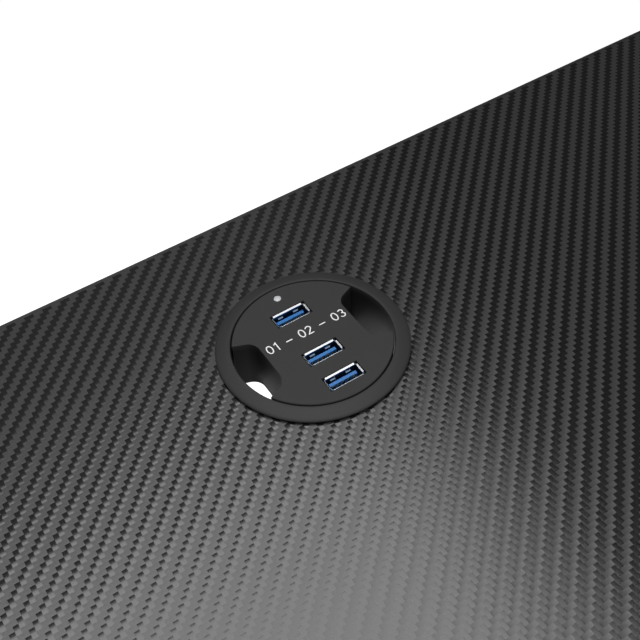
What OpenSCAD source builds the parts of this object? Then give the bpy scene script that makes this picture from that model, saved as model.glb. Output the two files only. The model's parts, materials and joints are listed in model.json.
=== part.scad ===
// Corner desk with a flush port hub in the top.
// Two laminated boards form the L, on a bolt-together frame of steel tube with levelling feet.
// Millimetres. +X runs along the back edge, +Y points to the back edge, +Z is up.
// The origin is on the floor, under the middle of the desk's bounding box.

/* [Desk] */
// Length of the main wing along the back edge
desk_length = 1400; // [1150:10:1800]
// Depth of the whole desk, measured down the return wing
desk_depth = 1200; // [1000:10:1600]
// Height of the work surface above the floor
desk_height = 750; // [620:5:900]
// Depth of the main wing
main_depth = 600; // [500:10:720]
// Width of the return wing
return_width = 500; // [420:10:600]

/* [Boards] */
// Thickness of the boards
board_t = 18; // [15:0.5:30]
// Thickness of the edge bands
band_t = 2; // [1:0.5:3]
// Radius on the long edges of the edge bands
band_r = 0.8; // [0.3:0.1:0.9]
// Gap between the two boards where they meet
seam_gap = 0.5; // [0.2:0.1:2]

/* [Frame] */
// Side of the square posts
post_w = 50; // [40:1:60]
// Height of the rail, beam and stretcher tubes
rail_h = 50; // [40:1:60]
// Width of the rail, beam and stretcher tubes
rail_w = 25; // [20:1:40]
// Wall of every tube
tube_wall = 1.5; // [1.2:0.1:2.5]
// Outside corner radius of every tube
tube_r = 3; // [2.7:0.1:5]
// Distance from the edge of the top to the outer face of a post
post_setback = 40; // [20:5:80]
// Height of the low rails' underside above the floor
low_rail_z = 100; // [60:5:180]
// Height of the stretchers' underside above the floor
stretcher_z = 300; // [250:5:400]
// Distance from the back edge to the middle of the back beam
back_beam_from_edge = 180; // [140:5:230]
// Distance from the main wing's front edge to the middle of the front beam
front_beam_from_edge = 120; // [105:5:180]
// Distance from the middle of a return post to the beam beside it
return_beam_offset = 90; // [50:5:110]

/* [Fasteners] */
// Diameter of the frame bolts
bolt_d = 6; // [5:1:8]
// Diameter of a frame bolt's head
bolt_head_d = 12; // [10:1:16]
// Height of a frame bolt's head
bolt_head_h = 3.2; // [2.5:0.1:5]
// Clearance on the diameter of a bolt hole
bolt_clear = 0.5; // [0.3:0.1:1]
// Length of the nut block held in each rail end
block_len = 15; // [10:1:25]
// Depth of the nut block's face inside the rail end
block_inset = 1; // [0.5:0.5:4]
// Gap between a nut block or foot insert and the tube around it
block_clear = 0.2; // [0.1:0.05:0.4]
// Diameter of the wood screws
screw_d = 4; // [3:0.5:5]
// Length of the wood screws under the head
screw_len = 15; // [12:1:16]
// Diameter of a wood screw's head
screw_head_d = 8; // [7:0.5:10]
// Height of a wood screw's head
screw_head_h = 2.4; // [1.5:0.1:3.5]
// Clearance on the diameter of a screw's pilot hole
screw_clear = 0.2; // [0.1:0.1:0.5]
// Thickness of the fixing tabs and joining plates
plate_t = 2.5; // [2:0.5:4]
// Width of a fixing tab
tab_w = 30; // [24:1:40]
// Length of a fixing tab away from its beam
tab_len = 34; // [28:1:44]
// Length of a joining plate across the seam
join_len = 70; // [60:2:80]
// Width of a joining plate
join_w = 40; // [30:2:50]

/* [Levelling feet] */
// Diameter of a foot's pad
pad_d = 38; // [30:1:48]
// Height of a foot's pad
pad_h = 9; // [7:0.5:12]
// Diameter of a foot's stud
stud_d = 8; // [6:1:10]
// Height of the gap between a pad and the insert above it
foot_gap = 14; // [12:1:24]
// Width across the flats of the stud's hexagon
hex_af = 13; // [11:1:17]
// Height of the stud's hexagon
hex_h = 4; // [3:0.5:6]
// Length of stud above the underside of the post
stud_reach = 32; // [26:1:50]
// Clearance on the diameter between a stud and its insert
stud_clear = 0.6; // [0.4:0.1:1]
// Height of the foot insert inside its post
insert_h = 22; // [15:1:30]
// Thickness of the insert's flange under its post
insert_flange = 2; // [1.5:0.5:4]

/* [Port hub] */
// Distance from the back edge to the middle of the hub
hub_from_back = 75.5; // [60:0.5:110]
// Distance from the left end of the desk to the middle of the hub
hub_from_left = 420; // [200:5:600]
// Diameter of the hub's face
face_d = 57.8; // [57:0.2:72]
// Thickness of the hub's face
face_t = 2; // [1.6:0.1:3]
// Gap between the face and the ring around it
face_gap = 0.5; // [0.2:0.05:0.6]
// Width of the ring's visible top
ring_lip = 5.6; // [4.5:0.1:9]
// Height of the ring's inner edge above the board
ring_rise = 2.9; // [2.2:0.1:4]
// Fall of the ring's top from its inner to its outer edge
ring_drop = 1.36; // [0.5:0.02:1.6]
// Bevel on the ring's inner edge
ring_bevel = 0.3; // [0.1:0.05:0.5]
// Undercut of the ring's outer edge, where it meets the board
ring_undercut = 0.9; // [0.2:0.1:1]
// Wall of the ring's sleeve
sleeve_wall = 1.5; // [1:0.1:2.5]
// Gap between the sleeve and its hole in the board
sleeve_clear = 0.3; // [0.2:0.05:0.6]
// Length of sleeve below the board
sleeve_below = 5; // [2:0.5:15]
// Depth of the ribs that the face rests on
rib_depth = 1.3; // [1:0.1:2]
// Width of a rib
rib_w = 4; // [3:0.5:6]
// Height of a rib
rib_h = 6; // [4:0.5:10]
// Depth of the hub, from the top of the face to the bottom of its cover
hub_depth = 21.5; // [19:0.5:30]
// Wall of the hub's body
skirt_wall = 1.4; // [1:0.1:2]
// Gap between the hub's body and the ribs in the ring
skirt_clear = 0.3; // [0.2:0.05:0.6]
// Thickness of the hub's bottom cover
cover_t = 1.5; // [1.2:0.1:2.5]
// Depth of a cable notch from the edge of the face
notch_depth = 11.1; // [6:0.1:11.4]
// Radius of a cable notch's inner corners
notch_r = 5; // [3:0.1:6]
// Distance between the centres of a notch's two inner corners
notch_span = 14.2; // [10:0.1:16]
// Angle at which a notch's sides open outward
notch_angle = 23; // [10:1:30]
// Thickness of the circuit board
board_pcb_t = 1.6; // [1:0.1:2]
// Height of the circuit board's top above the cover's top
pcb_stand = 4.5; // [2:0.1:5]
// Gap between the circuit board and the hub's body
pcb_gap = 0.6; // [0.3:0.1:1.5]

/* [Ports] */
// Width of a port's window in the face
window_w = 14.5; // [14.4:0.1:15.4]
// Height of a port's window in the face
window_h = 6.6; // [6.5:0.1:7.4]
// Width inside a port's shell
shell_w = 12.7; // [12.5:0.1:12.9]
// Height inside a port's shell
shell_h = 5.12; // [5.12:0.02:5.3]
// Sheet thickness of a port's shell
shell_t = 0.3; // [0.2:0.05:0.35]
// Reach of the shell's flared lips, both outward and upward
lip = 0.45; // [0.3:0.05:0.6]
// Depth of the shell's mouth below the face
mouth_depth = 0.1; // [0.05:0.05:0.4]
// Length of the lips along a port's long sides
lip_long = 11.9; // [8:0.1:12]
// Length of the lips along a port's short sides
lip_short = 4; // [2:0.1:4.2]
// Width of a port's tongue
tongue_w = 11.2; // [10.5:0.1:11.6]
// Thickness of a port's tongue
tongue_t = 1.3; // [1:0.05:1.6]
// Distance of the tongue's contact face behind the port's middle
tongue_offset = 0.15; // [-0.2:0.05:0.4]
// Depth of the tongue's end below the face
tongue_depth = 2.4; // [1.5:0.1:4]
// Height of the tongue's base
tongue_base = 2; // [1.5:0.1:3]
// Distance between neighbouring contacts
contact_pitch = 2.1; // [1.9:0.05:2.2]
// Distance from the hub's middle to the middle of each port, towards the back
port_ys = [14.6, -7, -20.2];
// Distance from the hub's middle to the status light
led_y = 24.2; // [23:0.1:24.4]
// Diameter of the status light
led_d = 2.8; // [2:0.1:3]

/* [Hidden] */
$fn = 64;
cut = 1;                                   // how far a cutting shape runs past what it cuts

// Edges of the boards
x_left = -desk_length / 2;
x_right = desk_length / 2;
x_inner = x_right - return_width;          // inner edge of the return wing
y_back = desk_depth / 2;
y_front = y_back - main_depth;             // front edge of the main wing, where the seam is
y_end = -desk_depth / 2;
z_under = desk_height - board_t;

// Centre lines of the frame
post_inset = post_setback + post_w / 2;
px_left = x_left + post_inset;
px_right = x_right - post_inset;
px_inner = x_inner + post_inset;
py_back = y_back - post_inset;
py_front = y_front + post_inset;
py_end = y_end + post_inset;
by_back = y_back - back_beam_from_edge;
by_front = y_front + front_beam_from_edge;
bx_inner = px_inner + return_beam_offset;
bx_outer = px_right - return_beam_offset;
z_top_rail = z_under - rail_h / 2;
z_low_rail = low_rail_z + rail_h / 2;
z_stretcher = stretcher_z + rail_h / 2;
z_post = pad_h + foot_gap + insert_flange;

// Where each bolted joint is: the middle of the post or rail that the bolt passes, its height,
// and the direction in which the bolt points.
post_joints = [
    for (x = [px_left, px_right], z = [z_top_rail, z_low_rail]) [x, py_front, z, 90],
    for (x = [px_left, px_right], z = [z_top_rail, z_low_rail]) [x, py_back, z, 270],
    for (z = [z_top_rail, z_low_rail]) [px_inner, py_end, z, 0],
    for (z = [z_top_rail, z_low_rail]) [px_right, py_end, z, 180],
    [px_left, py_back, z_stretcher, 0],
    [px_right, py_back, z_stretcher, 180],
    [px_right, py_front, z_stretcher, 270],
    [px_right, py_end, z_stretcher, 90]
];
rail_joints = [
    for (y = [by_back, by_front]) [px_left, y, z_top_rail, 0],
    for (y = [by_back, by_front]) [px_right, y, z_top_rail, 180],
    for (x = [bx_inner, bx_outer]) [x, py_end, z_top_rail, 90]
];
beam_joints = [for (x = [bx_inner, bx_outer]) [x, by_front, z_top_rail, 270]];

// Fixing tabs: a point on the side of a beam, and the direction in which the tab reaches out.
tab_span = desk_length / 3;
return_tab_y = (y_end + y_front) / 2;
return_tab_step = (y_front - y_end) / 4;
tabs = [
    for (i = [-1:1]) [i * tab_span, by_back - rail_w / 2, 270],
    for (i = [-1:1]) [i * tab_span, by_front + rail_w / 2, 90],
    for (s = [-1, 1]) [bx_inner + rail_w / 2, return_tab_y + s * return_tab_step, 0],
    for (s = [-1, 1]) [bx_outer - rail_w / 2, return_tab_y + s * return_tab_step, 180]
];

// Joining plates across the seam, one beside the inner beam and one between the two beams
join_xs = [bx_inner - rail_w / 2 - join_w, (bx_inner + bx_outer) / 2];
join_hole_x = join_w / 4;
join_hole_end = 12;                        // from the end of a plate to its holes
join_hole_y = join_len / 2 - join_hole_end;

// Every wood screw's place under the boards
tab_hole = tab_len - tab_w / 2;            // from the beam to the hole in a tab
board_screw_places = [
    for (t = tabs) [t.x + tab_hole * cos(t.z), t.y + tab_hole * sin(t.z)],
    for (x = join_xs, i = [-1, 1], j = [-1, 1]) [x + i * join_hole_x, y_front + j * join_hole_y]
];

// Hub: radii and heights, measured from its middle and from the top of its face
face_r = face_d / 2;
ring_in = face_r + face_gap;
ring_out = ring_in + ring_lip;
hub_hole_r = ring_in + sleeve_wall + sleeve_clear;
skirt_r = ring_in - rib_depth - skirt_clear;
cheek_r = face_r - 0.3;                    // the skirt's radius beside the cable notches
cheek_y = 19;                              // how far from the X axis that wider part reaches
z_cover = -hub_depth;
z_skirt = z_cover + cover_t;
z_pcb = z_skirt + pcb_stand;
pcb_r = skirt_r - skirt_wall - pcb_gap;
boss_r = 2.6;
boss_x = 10.5;
boss_y = (port_ys[0] + port_ys[1]) / 2;
cover_screw_r = 1.2;
cover_screw_clear = 0.15;
gland_r = 4;
gland_bore = 2.4;
gland_len = 7;
gland_flange = 1.2;
gland_y = -7;
shell_z = -mouth_depth - lip;              // where the lips start
tongue_foot = z_pcb + tongue_base;

hub_x = x_left + hub_from_left;
hub_y = y_back - hub_from_back;
hub_z = desk_height + ring_rise;

// ---- Shared shapes ----

module rounded_rect(w, h, r) {
    square([w - 2 * r, h], center = true);
    square([w, h - 2 * r], center = true);
    for (i = [-1, 1], j = [-1, 1])
        translate([i * (w / 2 - r), j * (h / 2 - r)])
            circle(r);
}

module tube_section(w, h) {
    difference() {
        rounded_rect(w, h, tube_r);
        rounded_rect(w - 2 * tube_wall, h - 2 * tube_wall, tube_r - tube_wall);
    }
}

// A rail tube from one point to another along X (turn = 0) or Y (turn = 90)
module rail(x, y, z, length, turn) {
    translate([x, y, z])
        rotate([0, 0, turn])
            rotate([90, 0, 90])
                linear_extrude(length)
                    tube_section(rail_w, rail_h);
}

// Carries its children to a joint, with the bolt's axis along +X
module at_joint(j) {
    translate([j[0], j[1], j[2]])
        rotate([0, 0, j[3]])
            children();
}

// The hole that a joint's bolt needs through a post or rail of the given width
module joint_hole(j, width) {
    at_joint(j)
        translate([-width / 2 - cut, 0, 0])
            rotate([0, 90, 0])
                cylinder(h = width + 2 * cut, d = bolt_d + bolt_clear);
}

// A bolt whose head's underside is at the origin, pointing along +X
module bolt(length) {
    socket_af = bolt_d * 2 / 3;
    rotate([0, 90, 0])
        cylinder(h = length, d = bolt_d);
    rotate([0, -90, 0])
        difference() {
            rotate_extrude()
                polygon([
                    [0, 0], [bolt_head_d / 2, 0], [bolt_head_d / 2, bolt_head_h * 0.3],
                    for (a = [15:15:75])
                        [bolt_head_d / 2 * cos(a), bolt_head_h * (0.3 + 0.7 * sin(a))],
                    [bolt_head_d / 8, bolt_head_h], [0, bolt_head_h]
                ]);
            translate([0, 0, bolt_head_h / 3])
                cylinder(h = bolt_head_h, d = socket_af / cos(30), $fn = 6);
        }
}

// A pan-head wood screw whose head's top seat is at the origin, pointing up
module wood_screw() {
    slot_w = 1;
    slot_l = screw_head_d * 0.55;
    tip = screw_d;
    cylinder(h = screw_len - tip, d = screw_d);
    translate([0, 0, screw_len - tip])
        cylinder(h = tip, d1 = screw_d, d2 = 0.6);
    difference() {
        translate([0, 0, -screw_head_h])
            rotate_extrude()
                polygon([
                    [0, 0],
                    for (a = [75:-15:0])
                        [screw_head_d / 2 * cos(a), screw_head_h * 0.6 * (1 - sin(a))],
                    [screw_head_d / 2, screw_head_h], [0, screw_head_h]
                ]);
        for (a = [0, 90])
            rotate([0, 0, a])
                translate([-slot_l / 2, -slot_w / 2, -screw_head_h - cut])
                    cube([slot_l, slot_w, screw_head_h * 0.6 + cut]);
    }
}

// ---- Boards ----

module board(x0, x1, y0, y1) {
    pilot_extra = 0.5;
    pilot_depth = screw_len - plate_t + pilot_extra;
    color("#2b2c2e")
        difference() {
            translate([x0, y0, z_under])
                cube([x1 - x0, y1 - y0, board_t]);
            for (p = board_screw_places)
                if (p.x > x0 && p.x < x1 && p.y > y0 && p.y < y1)
                    translate([p.x, p.y, z_under - cut])
                        cylinder(h = pilot_depth + cut, d = screw_d + screw_clear);
            if (hub_x > x0 && hub_x < x1 && hub_y > y0 && hub_y < y1)
                translate([hub_x, hub_y, z_under - cut])
                    cylinder(h = board_t + 2 * cut, r = hub_hole_r);
        }
}

module main_board() {
    board(x_left + band_t, x_right - band_t, y_front + band_t, y_back - band_t);
}

module return_board() {
    board(x_inner + band_t, x_right - band_t, y_end + band_t, y_front - seam_gap);
}

// An edge band from the origin along +X, its outer face towards +Y
module edge_band(length) {
    color("#1d1e20")
        rotate([90, 0, 90])
            linear_extrude(length) {
                square([band_t - band_r, board_t]);
                translate([0, band_r])
                    square([band_t, board_t - 2 * band_r]);
                for (v = [band_r, board_t - band_r])
                    translate([band_t - band_r, v])
                        circle(band_r);
            }
}

module band_at(x, y, turn, length) {
    translate([x, y, z_under])
        rotate([0, 0, turn])
            edge_band(length);
}

module main_band_back() {
    band_at(x_left, y_back - band_t, 0, desk_length);
}

module main_band_front() {
    band_at(x_right, y_front + band_t, 180, desk_length);
}

module main_band_left() {
    band_at(x_left + band_t, y_front + band_t, 90, main_depth - 2 * band_t);
}

module main_band_right() {
    band_at(x_right - band_t, y_back - band_t, -90, main_depth - 2 * band_t);
}

return_side = y_front - seam_gap - y_end - band_t;    // length of the return wing's side bands

module return_band_front() {
    band_at(x_right, y_end + band_t, 180, return_width);
}

module return_band_left() {
    band_at(x_inner + band_t, y_end + band_t, 90, return_side);
}

module return_band_right() {
    band_at(x_right - band_t, y_front - seam_gap, -90, return_side);
}

// ---- Frame ----

module post(x, y) {
    color("#1a1b1d")
        difference() {
            translate([x, y, z_post])
                linear_extrude(z_under - z_post)
                    tube_section(post_w, post_w);
            for (j = post_joints)
                if (j.x == x && j.y == y)
                    joint_hole(j, post_w);
        }
}

module post_left_front() { post(px_left, py_front); }
module post_left_back() { post(px_left, py_back); }
module post_right_front() { post(px_right, py_front); }
module post_right_back() { post(px_right, py_back); }
module post_return_inner() { post(px_inner, py_end); }
module post_return_outer() { post(px_right, py_end); }

// A rail between two posts, drilled where beams are bolted to it
module post_rail(x, y, z, span, turn) {
    color("#1a1b1d")
        difference() {
            at_joint([x, y, z, turn])
                rail(post_w / 2, 0, 0, span - post_w, 0);
            for (j = rail_joints)
                if (j.z == z && (j.x == x && turn == 90 || j.y == y && turn == 0))
                    joint_hole(j, rail_w);
        }
}

side_span = py_back - py_front;
return_span = px_right - px_inner;

module left_top_rail() { post_rail(px_left, py_front, z_top_rail, side_span, 90); }
module left_low_rail() { post_rail(px_left, py_front, z_low_rail, side_span, 90); }
module right_top_rail() { post_rail(px_right, py_front, z_top_rail, side_span, 90); }
module right_low_rail() { post_rail(px_right, py_front, z_low_rail, side_span, 90); }
module return_top_rail() { post_rail(px_inner, py_end, z_top_rail, return_span, 0); }
module return_low_rail() { post_rail(px_inner, py_end, z_low_rail, return_span, 0); }
module back_stretcher() { post_rail(px_left, py_back, z_stretcher, px_right - px_left, 0); }
module return_stretcher() { post_rail(px_right, py_end, z_stretcher, py_front - py_end, 90); }

beam_x = px_left + rail_w / 2;
main_beam_len = px_right - px_left - rail_w;

module main_back_beam() {
    color("#1a1b1d")
        rail(beam_x, by_back, z_top_rail, main_beam_len, 0);
}

module main_front_beam() {
    color("#1a1b1d")
        difference() {
            rail(beam_x, by_front, z_top_rail, main_beam_len, 0);
            for (j = beam_joints)
                joint_hole(j, rail_w);
        }
}

module return_beam(x) {
    color("#1a1b1d")
        rail(x, py_end + rail_w / 2, z_top_rail, by_front - py_end - rail_w, 90);
}

module return_inner_beam() { return_beam(bx_inner); }
module return_outer_beam() { return_beam(bx_outer); }

// ---- Frame fasteners ----

module nut_block() {
    gap = tube_wall + block_clear;
    difference() {
        rotate([90, 0, 90])
            linear_extrude(block_len)
                rounded_rect(rail_w - 2 * gap, rail_h - 2 * gap, tube_r - tube_wall);
        translate([-cut, 0, 0])
            rotate([0, 90, 0])
                cylinder(h = block_len + 2 * cut, d = bolt_d + bolt_clear);
    }
}

module nut_blocks() {
    color("#8d9094") {
        for (j = post_joints)
            at_joint(j)
                translate([post_w / 2 + block_inset, 0, 0])
                    nut_block();
        for (j = concat(rail_joints, beam_joints))
            at_joint(j)
                translate([rail_w / 2 + block_inset, 0, 0])
                    nut_block();
    }
}

module post_bolts() {
    color("#26272a")
        for (j = post_joints)
            at_joint(j)
                translate([-post_w / 2, 0, 0])
                    bolt(post_w + block_inset + block_len);
}

module beam_bolts() {
    color("#26272a")
        for (j = concat(rail_joints, beam_joints))
            at_joint(j)
                translate([-rail_w / 2, 0, 0])
                    bolt(rail_w + block_inset + block_len);
}

module fixing_tabs() {
    color("#1a1b1d")
        for (t = tabs)
            translate([t.x, t.y, z_under - plate_t])
                rotate([0, 0, t.z])
                    difference() {
                        linear_extrude(plate_t) {
                            translate([0, -tab_w / 2])
                                square([tab_hole, tab_w]);
                            translate([tab_hole, 0])
                                circle(d = tab_w);
                        }
                        translate([tab_hole, 0, -cut])
                            cylinder(h = plate_t + 2 * cut, d = screw_d + bolt_clear);
                    }
}

module joining_plates() {
    color("#1a1b1d")
        for (x = join_xs)
            translate([x, y_front, z_under - plate_t])
                difference() {
                    linear_extrude(plate_t)
                        rounded_rect(join_w, join_len, tube_r);
                    for (i = [-1, 1], j = [-1, 1])
                        translate([i * join_hole_x, j * join_hole_y, -cut])
                            cylinder(h = plate_t + 2 * cut, d = screw_d + bolt_clear);
                }
}

module board_screws() {
    color("#26272a")
        for (p = board_screw_places)
            translate([p.x, p.y, z_under - plate_t])
                wood_screw();
}

// ---- Levelling feet ----

post_places = [
    [px_left, py_front], [px_left, py_back], [px_right, py_front], [px_right, py_back],
    [px_inner, py_end], [px_right, py_end]
];

module foot_insert() {
    plug_w = post_w - 2 * (tube_wall + block_clear);
    difference() {
        union() {
            linear_extrude(insert_flange)
                rounded_rect(post_w, post_w, tube_r);
            translate([0, 0, insert_flange])
                linear_extrude(insert_h)
                    rounded_rect(plug_w, plug_w, tube_r - tube_wall);
        }
        translate([0, 0, -cut])
            cylinder(h = insert_flange + insert_h + 2 * cut, d = stud_d + stud_clear);
    }
}

module foot_inserts() {
    color("#151617")
        for (p = post_places)
            translate([p.x, p.y, z_post - insert_flange])
                foot_insert();
}

pad_floor = 4;                             // pad thickness under the stud
pad_fit = 0.1;                             // gap around the stud in the pad

module foot_stud(i) {
    color("#a9acb0")
        translate([post_places[i].x, post_places[i].y, 0]) {
            translate([0, 0, pad_floor])
                cylinder(h = z_post + stud_reach - pad_floor, d = stud_d);
            translate([0, 0, pad_h])
                cylinder(h = hex_h, d = hex_af / cos(30), $fn = 6);
        }
}

module foot_pad(i) {
    r = pad_d / 2;
    chamfer = 1;
    base_r = r - chamfer;
    rim_h = 3.5;
    neck_r = hex_af / 2 + 2;
    color("#17181a")
        translate([post_places[i].x, post_places[i].y, 0])
            rotate_extrude()
                polygon([
                    [0, 0], [base_r, 0], [r, chamfer], [r, rim_h],
                    for (a = [15:15:75])
                        [r - (r - neck_r) * sin(a), pad_h - (pad_h - rim_h) * cos(a)],
                    [neck_r, pad_h], [stud_d / 2 + pad_fit, pad_h],
                    [stud_d / 2 + pad_fit, pad_floor], [0, pad_floor]
                ]);
}

module stud_left_front() { foot_stud(0); }
module stud_left_back() { foot_stud(1); }
module stud_right_front() { foot_stud(2); }
module stud_right_back() { foot_stud(3); }
module stud_return_inner() { foot_stud(4); }
module stud_return_outer() { foot_stud(5); }
module pad_left_front() { foot_pad(0); }
module pad_left_back() { foot_pad(1); }
module pad_right_front() { foot_pad(2); }
module pad_right_back() { foot_pad(3); }
module pad_return_inner() { foot_pad(4); }
module pad_return_outer() { foot_pad(5); }

// ---- Port hub ----

module at_hub() {
    translate([hub_x, hub_y, hub_z])
        children();
}

// Outline of the two cable notches, grown outward by the given amount
module notches(grow) {
    cx = face_r - notch_depth + notch_r;
    cy = notch_span / 2;
    r = notch_r + grow;
    tx = cx - r * sin(notch_angle);
    ty = cy + r * cos(notch_angle);
    reach = 2 * notch_depth;
    fx = tx + reach * cos(notch_angle);
    fy = ty + reach * sin(notch_angle);
    for (side = [0, 180])
        rotate([0, 0, side]) {
            polygon([[cx - r, -cy], [tx, -ty], [fx, -fy], [fx, fy], [tx, ty], [cx - r, cy]]);
            for (j = [-1, 1])
                translate([cx, j * cy])
                    circle(r);
        }
}

// A disc with the cable notches cut into it
module notched_disc(r, grow) {
    difference() {
        circle(r);
        notches(grow);
    }
}

// Outline of the hub's body: wider beside the notches, where the ring around it has no ribs
module body_outline() {
    difference() {
        union() {
            circle(skirt_r);
            intersection() {
                circle(cheek_r);
                square([2 * cheek_r, 2 * cheek_y], center = true);
            }
        }
        notches(0);
    }
}

module hub_ring() {
    steps = 8;
    edge_r = 0.4;
    edge_t = 0.25;
    sleeve_z = -ring_rise - board_t - sleeve_below;
    top_in = ring_in + ring_bevel;
    top_out = ring_out - edge_r;
    rib_out = ring_in + sleeve_wall / 2;
    color("#3b3b3d")
        at_hub() {
            rotate_extrude()
                polygon([
                    [ring_in, sleeve_z], [ring_in + sleeve_wall, sleeve_z],
                    [ring_in + sleeve_wall, -ring_rise], [ring_out - ring_undercut, -ring_rise],
                    [ring_out, -ring_drop - edge_r - edge_t], [ring_out, -ring_drop - edge_r],
                    for (i = [0:steps])
                        let (u = 1 - i / steps)
                            [top_in + (top_out - top_in) * u, -ring_drop * pow(u, 1.5)],
                    [ring_in, -ring_bevel]
                ]);
            for (a = [60, 120, 240, 300])
                rotate([0, 0, a])
                    translate([0, 0, -face_t - rib_h])
                        linear_extrude(rib_h)
                            intersection() {
                                difference() {
                                    circle(rib_out);
                                    circle(ring_in - rib_depth);
                                }
                                translate([0, -rib_w / 2])
                                    square([ring_out, rib_w]);
                            }
        }
}

module hub_body() {
    bevel = 0.25;
    led_fit = 0.2;
    color("#3b3b3d")
        at_hub()
            difference() {
                union() {
                    difference() {
                        rotate_extrude()
                            polygon([
                                [0, -face_t], [face_r, -face_t], [face_r, -bevel],
                                [face_r - bevel, 0], [0, 0]
                            ]);
                        translate([0, 0, -face_t - cut])
                            linear_extrude(face_t + 2 * cut)
                                notches(0);
                    }
                    translate([0, 0, z_skirt])
                        linear_extrude(-face_t - z_skirt)
                            difference() {
                                body_outline();
                                notched_disc(skirt_r - skirt_wall, skirt_wall);
                            }
                    for (i = [-1, 1])
                        translate([i * boss_x, boss_y, z_skirt])
                            cylinder(h = -face_t - z_skirt, r = boss_r);
                }
                for (y = port_ys)
                    translate([0, y, -face_t / 2])
                        cube([window_w, window_h, face_t + 2 * cut], center = true);
                translate([0, led_y, -face_t - cut])
                    cylinder(h = face_t + 2 * cut, d = led_d + led_fit);
                for (i = [-1, 1])
                    translate([i * boss_x, boss_y, z_skirt - cut])
                        cylinder(h = -z_skirt - 2 * face_t, r = cover_screw_r + cover_screw_clear);
            }
}

module hub_cover() {
    gland_fit = 0.1;
    rim_h = 1.5;
    rim_t = 1;
    rim_gap = 0.2;
    rim_r = skirt_r - skirt_wall - rim_gap;
    rim_grow = skirt_wall + rim_gap;
    color("#3b3b3d")
        at_hub()
            difference() {
                union() {
                    translate([0, 0, z_cover])
                        linear_extrude(cover_t)
                            body_outline();
                    translate([0, 0, z_skirt])
                        linear_extrude(rim_h)
                            difference() {
                                notched_disc(rim_r, rim_grow);
                                notched_disc(rim_r - rim_t, rim_grow + rim_t);
                            }
                }
                for (i = [-1, 1])
                    translate([i * boss_x, boss_y, z_cover - cut])
                        cylinder(h = cover_t + 2 * cut, r = cover_screw_r + 2 * cover_screw_clear);
                translate([0, gland_y, z_cover - cut])
                    cylinder(h = cover_t + 2 * cut, r = gland_r + gland_fit);
            }
}

module cable_gland() {
    rings = 3;
    ring_w = 1.1;
    ring_pitch = 2;
    neck_r = gland_r - 0.6;
    flange_r = gland_r + 1.4;
    top_z = cover_t + 0.4;
    color("#202123")
        at_hub()
            translate([0, gland_y, z_cover])
                rotate_extrude()
                    polygon([
                        [gland_bore, -gland_len], [neck_r, -gland_len],
                        for (i = [rings - 1:-1:0])
                            let (z = -gland_flange - ring_w - i * ring_pitch)
                                each [
                                    [neck_r, z], [gland_r, z],
                                    [gland_r, z + ring_w / 2], [neck_r, z + ring_w / 2]
                                ],
                        [neck_r, -gland_flange], [flange_r, -gland_flange], [flange_r, 0],
                        [gland_r, 0], [gland_r, top_z], [gland_bore, top_z]
                    ]);
}

module cover_screws() {
    head_r = 2.3;
    head_h = 1.3;
    slot_w = 0.6;
    grip = 8;
    color("#8d9094")
        at_hub()
            for (i = [-1, 1])
                translate([i * boss_x, boss_y, z_cover]) {
                    cylinder(h = cover_t + grip, r = cover_screw_r);
                    difference() {
                        translate([0, 0, -head_h])
                            cylinder(h = head_h, r = head_r);
                        for (a = [0, 90])
                            rotate([0, 0, a])
                                translate([-head_r * 0.6, -slot_w / 2, -head_h - cut])
                                    cube([head_r * 1.2, slot_w, head_h * 0.6 + cut]);
                    }
                }
}

module circuit_board() {
    boss_clear = 0.3;
    color("#1f5a3a")
        at_hub()
            difference() {
                translate([0, 0, z_pcb - board_pcb_t])
                    linear_extrude(board_pcb_t)
                        notched_disc(pcb_r, skirt_wall + pcb_gap);
                for (i = [-1, 1])
                    translate([i * boss_x, boss_y, z_pcb - board_pcb_t - cut])
                        cylinder(h = board_pcb_t + 2 * cut, r = boss_r + boss_clear);
            }
}

// The controller chip, its two capacitors and the lamp under the light pipe
module board_parts() {
    chip = 7;
    chip_h = 1;
    cap_r = 2;
    cap_h = 5.5;
    cap_x = 12;
    lamp_h = 1.8;
    lamp_d = led_d - 0.4;
    color("#141516")
        at_hub()
            translate([0, 0, z_pcb]) {
                translate([0, boss_y, chip_h / 2])
                    cube([chip, chip, chip_h], center = true);
                for (i = [-1, 1])
                    translate([i * cap_x, port_ys[2] + cap_r, 0])
                        cylinder(h = cap_h, r = cap_r);
                translate([0, led_y, 0])
                    cylinder(h = lamp_h, d = lamp_d);
            }
}

module light_pipe() {
    lamp_room = 2;
    dome = 0.4;
    r = led_d / 2;
    color("#c9ccd0")
        at_hub()
            translate([0, led_y, 0])
                rotate_extrude()
                    polygon([
                        [0, z_pcb + lamp_room], [r, z_pcb + lamp_room], [r, 0],
                        for (a = [15:15:90])
                            [r * cos(a), dome * sin(a)]
                    ]);
}

// ---- Ports ----

// A shell's flared lip along one side: starts at the shell's inner face, leans outward
module shell_lip(distance, length, turn) {
    rotate([0, 0, turn])
        translate([-length / 2, distance, shell_z])
            rotate([90, 0, 90])
                linear_extrude(length)
                    polygon([
                        [0, -shell_t], [0, 0], [lip, lip],
                        [lip + shell_t / 2, lip - shell_t / 2], [shell_t, -shell_t]
                    ]);
}

// A spring finger on a shell's long wall
module shell_finger(x, side) {
    finger_w = 2;
    finger_top = -1.9;
    finger_low = -5;
    bulge = 0.35;
    scale_y = side * shell_h / 2;
    translate([x - finger_w / 2, scale_y, 0])
        rotate([90, 0, 90])
            linear_extrude(finger_w)
                polygon([
                    [0, finger_top], [-side * bulge, finger_top - 0.4],
                    [-side * bulge, finger_top - 0.8], [0, finger_low]
                ]);
}

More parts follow.
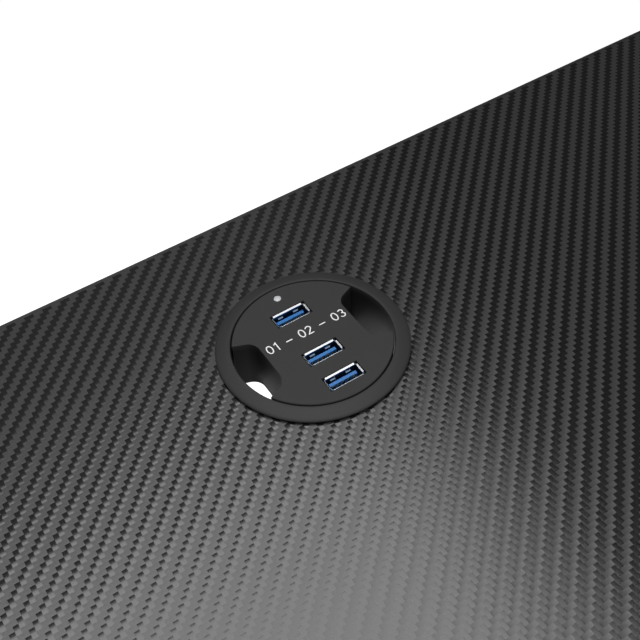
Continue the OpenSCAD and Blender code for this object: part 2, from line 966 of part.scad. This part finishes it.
module port_shell(i) {
    corner = 0.5;
    finger_x = 3.2;
    color("#c9ccd1")
        at_hub()
            translate([0, port_ys[i], 0]) {
                translate([0, 0, z_pcb])
                    linear_extrude(shell_z - z_pcb)
                        difference() {
                            rounded_rect(shell_w + 2 * shell_t, shell_h + 2 * shell_t, shell_t + corner);
                            rounded_rect(shell_w, shell_h, corner);
                        }
                for (turn = [0, 180])
                    shell_lip(shell_h / 2, lip_long, turn);
                for (turn = [90, 270])
                    shell_lip(shell_w / 2, lip_short, turn);
                for (x = [-finger_x, finger_x])
                    shell_finger(x, 1);
            }
}

module port_shell_1() { port_shell(0); }
module port_shell_2() { port_shell(1); }
module port_shell_3() { port_shell(2); }

contact_w = 1.2;
contact_count = 5;
contact_top = -3.9;                        // where the metal contacts begin
slot_top = -2.9;                           // where the slots in the tongue begin
slot_d = 0.4;

function contact_x(k) = (k - (contact_count - 1) / 2) * contact_pitch;

module port_tongues() {
    base_fit = 0.15;
    base_corner = 0.4;
    color("#2f6fb5")
        at_hub()
            for (y = port_ys)
                translate([0, y, 0])
                    difference() {
                        union() {
                            translate([-tongue_w / 2, tongue_offset, tongue_foot])
                                cube([tongue_w, tongue_t, -tongue_depth - tongue_foot]);
                            translate([0, 0, z_pcb])
                                linear_extrude(tongue_base)
                                    rounded_rect(shell_w - 2 * base_fit, shell_h - 2 * base_fit, base_corner);
                        }
                        for (k = [0:contact_count - 1])
                            translate([contact_x(k) - contact_w / 2, tongue_offset - cut, tongue_foot])
                                cube([contact_w, slot_d + cut, slot_top - tongue_foot]);
                    }
}

module port_contacts() {
    leaf_t = 0.25;
    leaf_gap = 0.1;
    leaf_x = leaf_gap - contact_w / 2;
    leaf_y = tongue_offset + slot_d - leaf_t;
    color("#c9a24a")
        at_hub()
            for (y = port_ys, k = [0:contact_count - 1])
                translate([contact_x(k) + leaf_x, y + leaf_y, tongue_foot])
                    cube([contact_w - 2 * leaf_gap, leaf_t, contact_top - tongue_foot]);
}

main_board();
return_board();
main_band_back();
main_band_front();
main_band_left();
main_band_right();
return_band_front();
return_band_left();
return_band_right();
post_left_front();
post_left_back();
post_right_front();
post_right_back();
post_return_inner();
post_return_outer();
left_top_rail();
left_low_rail();
right_top_rail();
right_low_rail();
return_top_rail();
return_low_rail();
main_back_beam();
main_front_beam();
return_inner_beam();
return_outer_beam();
back_stretcher();
return_stretcher();
nut_blocks();
post_bolts();
beam_bolts();
fixing_tabs();
joining_plates();
board_screws();
foot_inserts();
stud_left_front();
stud_left_back();
stud_right_front();
stud_right_back();
stud_return_inner();
stud_return_outer();
pad_left_front();
pad_left_back();
pad_right_front();
pad_right_back();
pad_return_inner();
pad_return_outer();
hub_ring();
hub_body();
hub_cover();
cable_gland();
cover_screws();
circuit_board();
board_parts();
light_pipe();
port_shell_1();
port_shell_2();
port_shell_3();
port_tongues();
port_contacts();
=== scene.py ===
import json
import math

import bmesh
import bpy
from mathutils import Matrix, Vector


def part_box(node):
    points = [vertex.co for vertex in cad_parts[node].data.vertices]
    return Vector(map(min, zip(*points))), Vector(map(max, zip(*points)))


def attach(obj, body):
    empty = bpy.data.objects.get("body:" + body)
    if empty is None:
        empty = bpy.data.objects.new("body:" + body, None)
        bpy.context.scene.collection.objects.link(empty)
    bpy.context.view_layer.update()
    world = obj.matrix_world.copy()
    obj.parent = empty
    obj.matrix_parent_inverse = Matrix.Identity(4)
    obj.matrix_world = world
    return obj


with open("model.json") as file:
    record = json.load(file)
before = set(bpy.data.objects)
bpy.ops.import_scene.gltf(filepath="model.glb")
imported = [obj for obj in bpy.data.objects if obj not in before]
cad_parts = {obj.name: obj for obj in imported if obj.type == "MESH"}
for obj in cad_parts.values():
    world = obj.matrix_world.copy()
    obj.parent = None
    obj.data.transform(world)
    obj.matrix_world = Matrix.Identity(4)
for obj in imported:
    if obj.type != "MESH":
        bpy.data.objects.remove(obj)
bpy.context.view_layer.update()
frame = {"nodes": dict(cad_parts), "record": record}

MM = 0.001                                   # the scene is in metres; a size in mm is multiplied by this


# ---------------------------------------------------------------- places, from the frame

def middle(node):
    low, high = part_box(node)
    return (low + high) / 2


hub = middle("hub_ring")
hub.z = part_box("hub_body")[1].z              # middle of the hub, at the top of its face
top_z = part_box("main_board")[1].z            # the work surface
board_t = top_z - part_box("main_board")[0].z
face_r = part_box("hub_body")[1].y - hub.y     # radius of the hub's face


# ---------------------------------------------------------------- camera

def make_camera():
    azimuth, elevation, roll = (math.radians(a) for a in (-29.382, 48.164, -4.519))
    distance = 368.5 * MM
    target = hub + Vector((7.15, 6.21, 0)) * MM
    back = Vector((math.sin(azimuth) * math.cos(elevation),
                   -math.cos(azimuth) * math.cos(elevation),
                   math.sin(elevation)))
    level = Vector((math.cos(azimuth), math.sin(azimuth), 0))
    above = back.cross(level)
    right = math.cos(roll) * level + math.sin(roll) * above
    up = math.cos(roll) * above - math.sin(roll) * level
    data = bpy.data.cameras.new("camera")
    data.sensor_width = 36
    data.lens = 57.43
    data.clip_start = 0.01
    data.clip_end = 50
    camera = bpy.data.objects.new("camera", data)
    turn = Matrix((right, up, back)).transposed().to_4x4()
    camera.matrix_world = Matrix.Translation(target + distance * back) @ turn
    bpy.context.scene.collection.objects.link(camera)
    bpy.context.scene.camera = camera


make_camera()


# ---------------------------------------------------------------- material helpers

def colour(code):
    """A colour's sRGB hex code as linear RGBA."""
    def linear(c):
        return c / 12.92 if c <= 0.04045 else ((c + 0.055) / 1.055) ** 2.4
    parts = [int(code[i:i + 2], 16) / 255 for i in (1, 3, 5)]
    return (*[linear(c) for c in parts], 1)


def plug(tree, node, inputs):
    """Fills a node's inputs with values, hex codes, sockets, or other nodes for their first open output."""
    for key, value in inputs.items() if isinstance(inputs, dict) else enumerate(inputs):
        if isinstance(value, bpy.types.Node):
            value = next(output for output in value.outputs if output.enabled)
        if isinstance(value, bpy.types.NodeSocket):
            tree.links.new(value, node.inputs[key])
        else:
            node.inputs[key].default_value = colour(value) if isinstance(value, str) else value


def add(tree, kind, inputs=(), **settings):
    """Adds a node, sets it up and fills its inputs."""
    node = tree.nodes.new(kind)
    for name, value in settings.items():
        setattr(node, name, value)
    plug(tree, node, inputs)
    return node


MATH = "ShaderNodeMath"
MIX = "ShaderNodeMix"                        # its inputs: 0 factor, 2-3 numbers, 4-5 vectors, 6-7 colours
MAP = "ShaderNodeMapRange"
NOISE = "ShaderNodeTexNoise"
SPLIT = "ShaderNodeSeparateXYZ"
BUMP = "ShaderNodeBump"


def new_material(name):
    """A new node material: itself, its tree, its shader, and the socket for a place in the desk's frame."""
    material = bpy.data.materials.new(name)
    material.use_nodes = True
    tree = material.node_tree
    tree.nodes.clear()
    shader = add(tree, "ShaderNodeBsdfPrincipled")
    add(tree, "ShaderNodeOutputMaterial", {"Surface": shader})
    place = add(tree, "ShaderNodeTexCoord").outputs["Object"]
    return material, tree, shader, place


def grained(name, dark, light, rough, grain, depth, patch=40, spread=0.06, **rest):
    """A finish with a grain, all sizes in mm: bumps of a depth, uneven gloss, patches of two colours."""
    material, tree, shader, place = new_material(name)
    grains = add(tree, NOISE, {"Vector": place, "Scale": 1 / (grain * MM), "Detail": 2})
    patches = add(tree, NOISE, {"Vector": place, "Scale": 1 / (patch * MM), "Detail": 3})
    gloss = add(tree, MAP, {"Value": grains, "To Min": rough - spread, "To Max": rough + spread})
    bump = add(tree, BUMP, {"Height": grains, "Distance": depth * MM})
    tone = add(tree, MIX, {0: patches, 6: dark, 7: light}, data_type="RGBA")
    plug(tree, shader, {"Base Color": tone, "Roughness": gloss, "Normal": bump, **rest})
    return material


# ---------------------------------------------------------------- materials

TOW = 1.8094                                 # width of one tow of the weave, mm
PHASE_X, PHASE_Y = -0.05, 0.35               # where in the weave the hub's middle lies, in tows
CROWN = 0.085                                # slope of a glossy tow where it dips under its neighbour
WEFT_CROWN = -0.5 * CROWN                    # the same for a dull tow: half as steep, and the other way
EDGE = 0.03                                  # slope of a tow at its long edges
STRAND = 0.035                               # slope of the fine strands that a tow is made of
STRANDS = 5                                  # strands across one tow
SHEET = 0.3                                  # thickness of the decor and backing sheets, mm
CHIP = 2.5                                   # size of the wood chips in the core, mm


def woven_laminate():
    """Black decor laminate pressed with a 2/2 twill: glossy tows run along Y, duller ones along X."""
    material, tree, shader, place = new_material("woven_laminate")
    axes = add(tree, SPLIT, [place]).outputs

    # u and v count the tows; a and b run from 0 to 4 over one repeat of the twill
    per_m = 1 / (TOW * MM)
    u = add(tree, MATH, [axes["X"], per_m, PHASE_X - hub.x * per_m], operation="MULTIPLY_ADD")
    v = add(tree, MATH, [axes["Y"], per_m, PHASE_Y - hub.y * per_m], operation="MULTIPLY_ADD")
    row = add(tree, MATH, [v], operation="FLOOR")
    column = add(tree, MATH, [u], operation="FLOOR")
    shift = add(tree, MATH, [row, 1.0], operation="ADD")
    a = add(tree, MATH, [add(tree, MATH, [u, shift], operation="SUBTRACT"), 4.0], operation="FLOORED_MODULO")
    b = add(tree, MATH, [add(tree, MATH, [v, column], operation="SUBTRACT"), 4.0], operation="FLOORED_MODULO")
    weft = add(tree, MATH, [a, 2.0], operation="LESS_THAN")          # 1 where a tow along X is on top

    def side(count):
        """Slope across a tow, from the count of tows: strands, and edges that fall away."""
        part = add(tree, MATH, [count], operation="FRACT")
        s = add(tree, MATH, [part, 2.0, -1.0], operation="MULTIPLY_ADD")
        turn = add(tree, MATH, [s, math.pi * STRANDS], operation="MULTIPLY")
        strand = add(tree, MATH, [add(tree, MATH, [turn], operation="SINE"), STRAND], operation="MULTIPLY")
        cube = add(tree, MATH, [add(tree, MATH, [s, s], operation="MULTIPLY"), s], operation="MULTIPLY")
        return add(tree, MATH, [cube, EDGE, strand], operation="MULTIPLY_ADD")

    dip_x = add(tree, MATH, [a, WEFT_CROWN, -WEFT_CROWN], operation="MULTIPLY_ADD")
    dip_y = add(tree, MATH, [b, CROWN, -CROWN], operation="MULTIPLY_ADD")
    tilt_x = add(tree, MIX, {0: weft, 2: side(u), 3: dip_x})
    tilt_y = add(tree, MIX, {0: weft, 2: dip_y, 3: side(v)})
    lean = add(tree, "ShaderNodeCombineXYZ", [tilt_x, tilt_y, 1.0])
    normal = add(tree, "ShaderNodeVectorMath", [lean], operation="NORMALIZE")
    tint = add(tree, MIX, {0: weft, 6: "#0f0e0e", 7: "#252424"}, data_type="RGBA")
    gloss = add(tree, MIX, {0: weft, 2: 0.17, 3: 0.30})

    # below the decor sheet come the brown particle board and, underneath, a plain dark backing sheet
    depth = add(tree, MATH, [top_z, axes["Z"]], operation="SUBTRACT")
    below = add(tree, MATH, [depth, SHEET * MM], operation="GREATER_THAN")
    under = add(tree, MATH, [depth, board_t - SHEET * MM], operation="GREATER_THAN")
    chips = add(tree, "ShaderNodeTexVoronoi", {"Vector": place, "Scale": 1 / (CHIP * MM)}).outputs["Color"]
    core = add(tree, MIX, {0: chips, 6: "#7c6446", 7: "#a98c66"}, data_type="RGBA")
    board = add(tree, MIX, {0: below, 6: tint, 7: core}, data_type="RGBA")
    sheet = add(tree, MIX, {0: under, 6: board, 7: "#1d1d1e"}, data_type="RGBA")
    flat = add(tree, "ShaderNodeNewGeometry").outputs["Normal"]
    face = add(tree, MIX, {0: below, 4: normal, 5: flat}, data_type="VECTOR")
    rough = add(tree, MIX, {0: below, 2: gloss, 3: 0.6})
    plug(tree, shader, {"Base Color": sheet, "Normal": face, "Roughness": rough})
    return material


def extruded_abs_band():
    """Edge band of extruded ABS: satin, with faint lines along it."""
    material, tree, shader, place = new_material("extruded_abs_band")
    z = add(tree, SPLIT, [place]).outputs["Z"]
    lines = add(tree, NOISE, {"W": z, "Scale": 1 / (0.8 * MM), "Detail": 2}, noise_dimensions="1D")
    cloud = add(tree, NOISE, {"Vector": place, "Scale": 1 / (60 * MM)})
    tone = add(tree, MIX, {0: cloud, 6: "#131315", 7: "#19191b"}, data_type="RGBA")
    gloss = add(tree, MAP, {"Value": lines, "To Min": 0.34, "To Max": 0.46})
    bump = add(tree, BUMP, {"Height": lines, "Distance": 0.01 * MM})
    plug(tree, shader, {"Base Color": tone, "Roughness": gloss, "Normal": bump, "IOR": 1.5})
    return material


def powder_coated_steel():
    """Black polyester powder baked on steel: an orange-peel skin that softens reflections."""
    return grained("powder_coated_steel", "#161718", "#1c1d1f", 0.5, 1.5, 0.03, patch=80, IOR=1.5)


def black_oxide_steel():
    """Bolts of black-oxide steel: a dark metal sheen, a little brown where the oxide is thin."""
    return grained("black_oxide_steel", "#1c1c1f", "#2e2b29", 0.38, 0.5, 0.003, patch=6, Metallic=0.9)


def zinc_plated_steel():
    """Studs, nuts and screws plated with bright zinc: cool grey, with a faintly cloudy shine."""
    return grained("zinc_plated_steel", "#9da2a8", "#bfc4c9", 0.3, 0.8, 0.004, patch=5, Metallic=1.0)


def moulded_nylon_insert():
    """Inserts moulded in nylon: matt black with a fine spark-eroded texture."""
    return grained("moulded_nylon_insert", "#111113", "#18181a", 0.55, 0.3, 0.01, IOR=1.53)


def moulded_nylon_pad():
    """Foot pads moulded in nylon: matt black, a shade greyer than the inserts."""
    return grained("moulded_nylon_pad", "#141416", "#1d1d1f", 0.5, 0.4, 0.012, patch=12, IOR=1.53)


def textured_abs_hub():
    """The hub's moulded ABS: dull charcoal, because its fine texture scatters the light, with painted shade
    darkening it down in the cable notches."""
    material, tree, shader, place = new_material("textured_abs_hub")
    z = add(tree, SPLIT, [place]).outputs["Z"]
    # painted shade: below the face and inside its radius the plastic turns darker with depth, down in the
    # notches
    down = add(tree, MAP, {"Value": z, "From Min": hub.z - 0.3 * MM, "From Max": hub.z - 3 * MM})
    level = add(tree, "ShaderNodeVectorMath", [place, (1, 1, 0)], operation="MULTIPLY")
    reach = add(tree, "ShaderNodeVectorMath", [level, (hub.x, hub.y, 0)], operation="DISTANCE")
    inside = add(tree, MATH, [reach, face_r + 1 * MM], operation="LESS_THAN")
    notch_shade_mask = add(tree, MATH, [down, inside], operation="MULTIPLY")
    grains = add(tree, NOISE, {"Vector": place, "Scale": 1 / (0.12 * MM), "Detail": 2})
    patches = add(tree, NOISE, {"Vector": place, "Scale": 1 / (15 * MM), "Detail": 3})
    gloss = add(tree, MAP, {"Value": grains, "To Min": 0.56, "To Max": 0.64})
    bump = add(tree, BUMP, {"Height": grains, "Distance": 0.004 * MM})
    face = add(tree, MIX, {0: patches, 6: "#212121", 7: "#242424"}, data_type="RGBA")
    tone = add(tree, MIX, {0: notch_shade_mask, 6: face, 7: "#0c0c0c"}, data_type="RGBA")
    plug(tree, shader, {"Base Color": tone, "Roughness": gloss, "Normal": bump, "Specular IOR Level": 0.2})
    return material


def moulded_rubber_gland():
    """Soft rubber round the cable outlet: almost no shine."""
    return grained("moulded_rubber_gland", "#131314", "#1a1a1b", 0.75, 0.4, 0.02, patch=4, IOR=1.52)


def green_solder_mask():
    """Circuit board under green solder mask: glossy, with the weave of the glass cloth just showing."""
    material, tree, shader, place = new_material("green_solder_mask")
    cloth = add(tree, "ShaderNodeTexChecker", {"Vector": place, "Scale": 1 / (0.5 * MM)}).outputs["Fac"]
    cloud = add(tree, NOISE, {"Vector": place, "Scale": 1 / (3 * MM)})
    shade = add(tree, MIX, {0: cloud, 6: "#0e4429", 7: "#12553a"}, data_type="RGBA")
    tone = add(tree, MIX, {0: cloth, 6: shade, 7: "#135033"}, data_type="RGBA")
    bump = add(tree, BUMP, {"Height": cloth, "Distance": 0.004 * MM})
    plug(tree, shader, {"Base Color": tone, "Roughness": 0.28, "Normal": bump, "IOR": 1.5})
    return material


def moulded_epoxy_package():
    """Chips and capacitors in black moulding epoxy: dark, with a slightly sandy surface."""
    return grained("moulded_epoxy_package", "#121213", "#1b1b1c", 0.5, 0.15, 0.006, patch=3, IOR=1.55)


def milky_acrylic():
    """The status light's acrylic rod: pale and cloudy, with a soft shine on its dome."""
    return grained("milky_acrylic", "#8d8f91", "#9a9c9e", 0.3, 0.6, 0.002, patch=2, IOR=1.49)


def blue_pbt_tongue():
    """Blue PBT of the ports' tongues: strong colour with a waxy shine."""
    return grained("blue_pbt_tongue", "#1a5187", "#205a92", 0.3, 0.3, 0.003, patch=4, IOR=1.45)


def gold_plated_contact():
    """Contacts flashed with gold: warm, bright, and slightly uneven."""
    return grained("gold_plated_contact", "#c79a3c", "#d8ab4a", 0.25, 0.4, 0.002, patch=1.5, Metallic=1.0)


def white_pad_print():
    """White ink printed on the hub's face: flat and matt, thin enough to dull a little."""
    return grained("white_pad_print", "#b4b4b4", "#bebebe", 0.6, 0.1, 0.002, patch=3, IOR=1.5)


def nickel_plated_shell():
    """Port shells in nickel-plated steel: bright at the flared lips, with painted shade making them dark
    inside, and the same dark colour on the cut edges.
    """
    material, tree, shader, place = new_material("nickel_plated_shell")
    z = add(tree, SPLIT, [place]).outputs["Z"]
    lips = add(tree, MAP, {"Value": z, "From Min": hub.z - 1.0 * MM, "From Max": hub.z - 0.5 * MM})
    facing = add(tree, SPLIT, [add(tree, "ShaderNodeNewGeometry").outputs["Normal"]]).outputs["Z"]
    slanted = add(tree, MATH, [facing, 0.9], operation="LESS_THAN")
    bright = add(tree, MATH, [lips, slanted], operation="MULTIPLY")
    scuff = add(tree, NOISE, {"Vector": place, "Scale": 1 / (0.4 * MM), "Detail": 2})
    plating = add(tree, MIX, {0: scuff, 6: "#d3d5d8", 7: "#e2e4e6"}, data_type="RGBA")
    # painted shade: a dark blue-grey for the shell's inside below the lips, also used on the cut edges facing
    # up
    painted_shade_and_edge_tone = add(tree, MIX, {0: scuff, 6: "#4f6074", 7: "#5c6d82"}, data_type="RGBA")
    tone = add(tree, MIX, {0: bright, 6: painted_shade_and_edge_tone, 7: plating}, data_type="RGBA")
    rough = add(tree, MAP, {"Value": scuff, "To Min": 0.24, "To Max": 0.36})
    plug(tree, shader, {"Base Color": tone, "Roughness": rough, "Metallic": 1.0})
    return material


FINISHES = {
    "laminate_board": woven_laminate,
    "edge_band": extruded_abs_band,
    "powder_coat": powder_coated_steel,
    "black_bolt": black_oxide_steel,
    "zinc_steel": zinc_plated_steel,
    "insert_plastic": moulded_nylon_insert,
    "pad_plastic": moulded_nylon_pad,
    "hub_plastic": textured_abs_hub,
    "gland_rubber": moulded_rubber_gland,
    "circuit_board": green_solder_mask,
    "black_epoxy": moulded_epoxy_package,
    "light_pipe": milky_acrylic,
    "port_shell": nickel_plated_shell,
    "port_tongue": blue_pbt_tongue,
    "contact_gold": gold_plated_contact,
}
materials = {slot: make() for slot, make in FINISHES.items()}


EDGE_WIDTHS = {                              # how far each finish rounds a sharp edge, mm
    "edge_band": 0.5, "black_bolt": 0.2, "zinc_steel": 0.1, "pad_plastic": 0.4, "hub_plastic": 0.12,
    "gland_rubber": 0.15, "black_epoxy": 0.1, "port_tongue": 0.05,
}


def soften(piece, width):
    """Joins the split corners of a CAD piece and rounds its sharp edges."""
    weld = piece.modifiers.new("weld", "WELD")
    weld.merge_threshold = 0.001 * MM
    bevel = piece.modifiers.new("bevel", "BEVEL")
    bevel.width = width * MM
    bevel.segments = 2
    bevel.limit_method = "ANGLE"
    bevel.angle_limit = math.radians(40)
    bevel.harden_normals = False


def dress_frame():
    for part in frame["record"]["subparts"]:
        piece = frame["nodes"][part["node"]]
        piece.data.materials.clear()
        piece.data.materials.append(materials[part["material_slot"]])
        width = EDGE_WIDTHS.get(part["material_slot"])
        if width and part["node"] != "hub_body":     # a bevel leaves shading marks round its lamp hole
            soften(piece, width)


dress_frame()


# ---------------------------------------------------------------- print on the hub

CAP = 4.0                                    # height of a numeral, mm
STROKE = 0.44                                # width of its strokes
GAP = 0.55                                   # space between two characters
BASELINE = 2.5                               # from the hub's middle to the foot of the numerals
INK = 0.03                                   # thickness of the print
OVERLAP = 0.005                              # how much higher the second stroke of a numeral lies
WIDTHS = {"0": 2.5, "1": 1.9, "2": 2.5, "3": 2.4, "-": 2.7, " ": 1.75}


def arc(cx, cy, rx, ry, start, stop, steps=20):
    """Points along an elliptic arc, angles in degrees."""
    angles = [math.radians(start + (stop - start) * i / steps) for i in range(steps + 1)]
    return [(cx + rx * math.cos(a), cy + ry * math.sin(a)) for a in angles]


def numeral(which):
    """The strokes of a numeral or a dash, each a list of points and whether it closes on itself."""
    half = STROKE / 2
    low, high = half, CAP - half
    if which == "0":
        return [(arc(1.25, CAP / 2, 1.25 - half, high - CAP / 2, 0, 360, 40)[:-1], True)]
    if which == "1":
        return [([(0.35, 3.1), (1.3, high), (1.3, 0)], False)]
    if which == "2":
        return [(arc(1.22, 2.85, 0.97, 0.9, 165, -30) + [(0.28, low + 0.02), (2.35, low + 0.02)], False)]
    if which == "3":
        return [(arc(1.2, 2.93, 0.85, 0.82, 155, -90), False), (arc(1.2, 1.2, 0.97, 0.95, 90, -158), False)]
    return [([(0.1, 1.8), (2.6, 1.8)], False)]


def ribbon(bm, path, closed, at, z, thick):
    """Adds a flat closed strip of constant width that follows a path."""
    points = [Vector(p) for p in path]
    count = len(points)
    rows = []
    for i, p in enumerate(points):
        before = points[i - 1] if closed or i else p
        after = points[(i + 1) % count] if closed or i < count - 1 else p
        into = (p - before).normalized() if p != before else (after - p).normalized()
        out = (after - p).normalized() if p != after else into
        side = Vector((-(into + out).y, (into + out).x)).normalized()
        reach = STROKE / 2 / max(0.5, side.dot(Vector((-into.y, into.x))))
        corners = [p + side * reach, p - side * reach]
        rows.append([bm.verts.new((at.x + c.x * MM, at.y + c.y * MM, height))
                     for height in (z, z + thick) for c in corners])
    ends = zip(rows, rows[1:] + rows[:1]) if closed else zip(rows, rows[1:])
    for a, b in ends:
        for i, j in ((0, 1), (1, 3), (3, 2), (2, 0)):
            bm.faces.new((a[i], a[j], b[j], b[i]))
    if not closed:
        for row in (rows[0], rows[-1]):
            bm.faces.new((row[0], row[1], row[3], row[2]))


def make_print():
    bm = bmesh.new()
    text = "01 - 02 - 03"
    x = 0.15 - (sum(WIDTHS[c] + GAP for c in text) - GAP) / 2
    for c in text:
        if c != " ":
            for layer, (path, closed) in enumerate(numeral(c)):
                at = hub + Vector((x, BASELINE, 0)) * MM
                ribbon(bm, path, closed, at, hub.z, (INK + OVERLAP * layer) * MM)
        x += WIDTHS[c] + GAP
    bmesh.ops.recalc_face_normals(bm, faces=bm.faces)
    mesh = bpy.data.meshes.new("hub_print")
    bm.to_mesh(mesh)
    bm.free()
    piece = bpy.data.objects.new("hub_print", mesh)
    bpy.context.scene.collection.objects.link(piece)
    mesh.materials.append(white_pad_print())
    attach(piece, "desk")


make_print()


# ---------------------------------------------------------------- floor and light

def make_floor():
    half = 40
    corners = [(-half, -half, 0), (half, -half, 0), (half, half, 0), (-half, half, 0)]
    mesh = bpy.data.meshes.new("floor")
    mesh.from_pydata(corners, [], [(0, 1, 2, 3)])
    floor = bpy.data.objects.new("floor", mesh)
    bpy.context.scene.collection.objects.link(floor)
    material, tree, shader = new_material("white_floor")[:3]
    plug(tree, shader, {"Base Color": "#f4f4f4", "Roughness": 0.9, "Emission Color": "#ffffff",
                        "Emission Strength": 0.8})
    below = add(tree, "ShaderNodeNewGeometry").outputs["Backfacing"]     # clear when seen from below
    seen = add(tree, "ShaderNodeMixShader", [below, shader, add(tree, "ShaderNodeBsdfTransparent")])
    add(tree, "ShaderNodeOutputMaterial", {"Surface": seen}).is_active_output = True
    mesh.materials.append(material)


def make_world():
    """A dim white surround, shown pale behind the desk."""
    world = bpy.data.worlds.new("studio")
    world.use_nodes = True
    tree = world.node_tree
    tree.nodes.clear()
    sight = add(tree, "ShaderNodeLightPath").outputs["Is Camera Ray"]
    dim = add(tree, "ShaderNodeBackground", ["#ffffff", 0.065])
    pale = add(tree, "ShaderNodeBackground", ["#ffffff", 0.9])
    add(tree, "ShaderNodeOutputWorld", [add(tree, "ShaderNodeMixShader", [sight, dim, pale])])
    bpy.context.scene.world = world


def make_softbox(name, place, aim, width, height, power):
    data = bpy.data.lights.new(name, "AREA")
    data.shape = "RECTANGLE"
    data.size = width
    data.size_y = height
    data.energy = power
    light = bpy.data.objects.new(name, data)
    light.location = place
    light.rotation_euler = (Vector(aim) - Vector(place)).to_track_quat("-Z", "Y").to_euler()
    light.visible_camera = False
    bpy.context.scene.collection.objects.link(light)


make_floor()
make_world()
KEY_H = 0.8                                  # height of the overhead panel above the work surface, m
KEY_RADIANCE = 5.3                           # W per square metre per steradian
key_low = Vector((-0.60, -0.70)) * KEY_H     # its two corners, from the middle of the hub
key_high = Vector((0.44, 0.59)) * KEY_H
key_size = key_high - key_low
key_place = Vector((*(hub.xy + (key_low + key_high) / 2), top_z + KEY_H))
make_softbox("key", key_place, key_place - Vector((0, 0, 1)), key_size.x, key_size.y,
             KEY_RADIANCE * math.pi * key_size.x * key_size.y)
make_softbox("left_panel", hub + Vector((-1.7, 0.95, 0.5)), hub, 0.65, 0.45, 2.5)
make_softbox("front_panel", hub + Vector((0.5, -1.7, 0.95)), hub, 1.1, 0.7, 6)
make_softbox("back_panel", hub + Vector((0.3, 1.9, 1.5)), hub, 1.4, 1.4, 1.0)
bpy.context.scene.view_settings.view_transform = "Standard"
